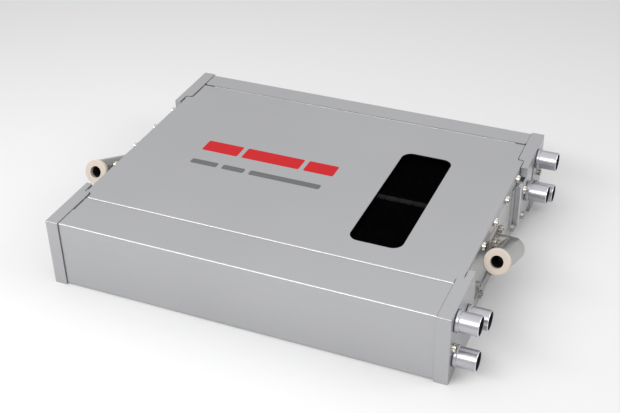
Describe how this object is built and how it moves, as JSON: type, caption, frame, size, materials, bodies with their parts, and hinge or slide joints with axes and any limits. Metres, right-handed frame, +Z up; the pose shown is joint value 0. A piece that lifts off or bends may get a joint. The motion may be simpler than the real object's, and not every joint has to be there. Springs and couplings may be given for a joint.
{
  "type": "fuel cell stack",
  "caption": "Flat fuel cell stack in a satin metal housing with corner caps, sight window, hose ports on one end and a tilted power terminal at each end.",
  "frame": {"origin": "centre of the housing's underside, on the plane of the four cap feet", "axes": "+X along the row of cells towards the end with the hose ports, +Y from the wide-strip front cover to the rear cover, +Z up"},
  "size_m": [0.6796, 0.502, 0.1135],
  "materials": {
    "satin_paint": "satin silver paint on sheet and castings",
    "machined_aluminium": "milled, light satin",
    "turned_aluminium": "fine turned, bright",
    "nickel_steel": "nickel plated, bright",
    "terminal_metal": "satin plated",
    "beige_insulator": "smooth matt",
    "black_pane": "glossy black",
    "black_rubber": "matt",
    "graphite": "dull graphite composite",
    "membrane_frame": "matt film",
    "insulating_board": "pressed glass-fibre board",
    "copper": "bare copper",
    "grey_plastic": "moulded"
  },
  "bodies": {
    "root": {"air_inlet": "turned_aluminium", "air_outlet": "turned_aluminium", "bipolar_plates": "graphite", "bottom_cover": "satin_paint", "cap_screws": "nickel_steel", "coolant_inlet": "turned_aluminium", "coolant_outlet": "turned_aluminium", "current_collector_left": "copper", "current_collector_right": "copper", "disc_springs": "nickel_steel", "end_plate_left": "machined_aluminium", "end_plate_right": "machined_aluminium", "front_bottom_rail": "machined_aluminium", "front_cover": "satin_paint", "front_left_cap": "satin_paint", "front_right_cap": "satin_paint", "front_top_rail": "machined_aluminium", "hydrogen_inlet": "turned_aluminium", "hydrogen_outlet": "turned_aluminium", "insulator_plate_left": "insulating_board", "insulator_plate_right": "insulating_board", "lid_key": "nickel_steel", "membranes": "membrane_frame", "monitor_connectors": "grey_plastic", "plug_screw": "nickel_steel", "port_block_screws": "nickel_steel", "port_gaskets": "black_rubber", "pressure_plate": "machined_aluminium", "rear_bottom_rail": "machined_aluminium", "rear_cover": "satin_paint", "rear_left_cap": "satin_paint", "rear_port_block": "machined_aluminium", "rear_right_cap": "satin_paint", "rear_top_rail": "machined_aluminium", "side_screws_left": "nickel_steel", "side_screws_right": "nickel_steel", "tension_band_screws": "nickel_steel", "tension_bands": "nickel_steel", "terminal_bush_left": "beige_insulator", "terminal_bush_right": "beige_insulator", "terminal_left": "terminal_metal", "terminal_right": "terminal_metal", "terminal_ring_left": "beige_insulator", "terminal_ring_right": "beige_insulator", "terminal_screws_left": "nickel_steel", "terminal_screws_right": "nickel_steel", "top_cover": "satin_paint", "window_pane": "black_pane", "window_seal": "black_rubber"}
  },
  "joints": []
}
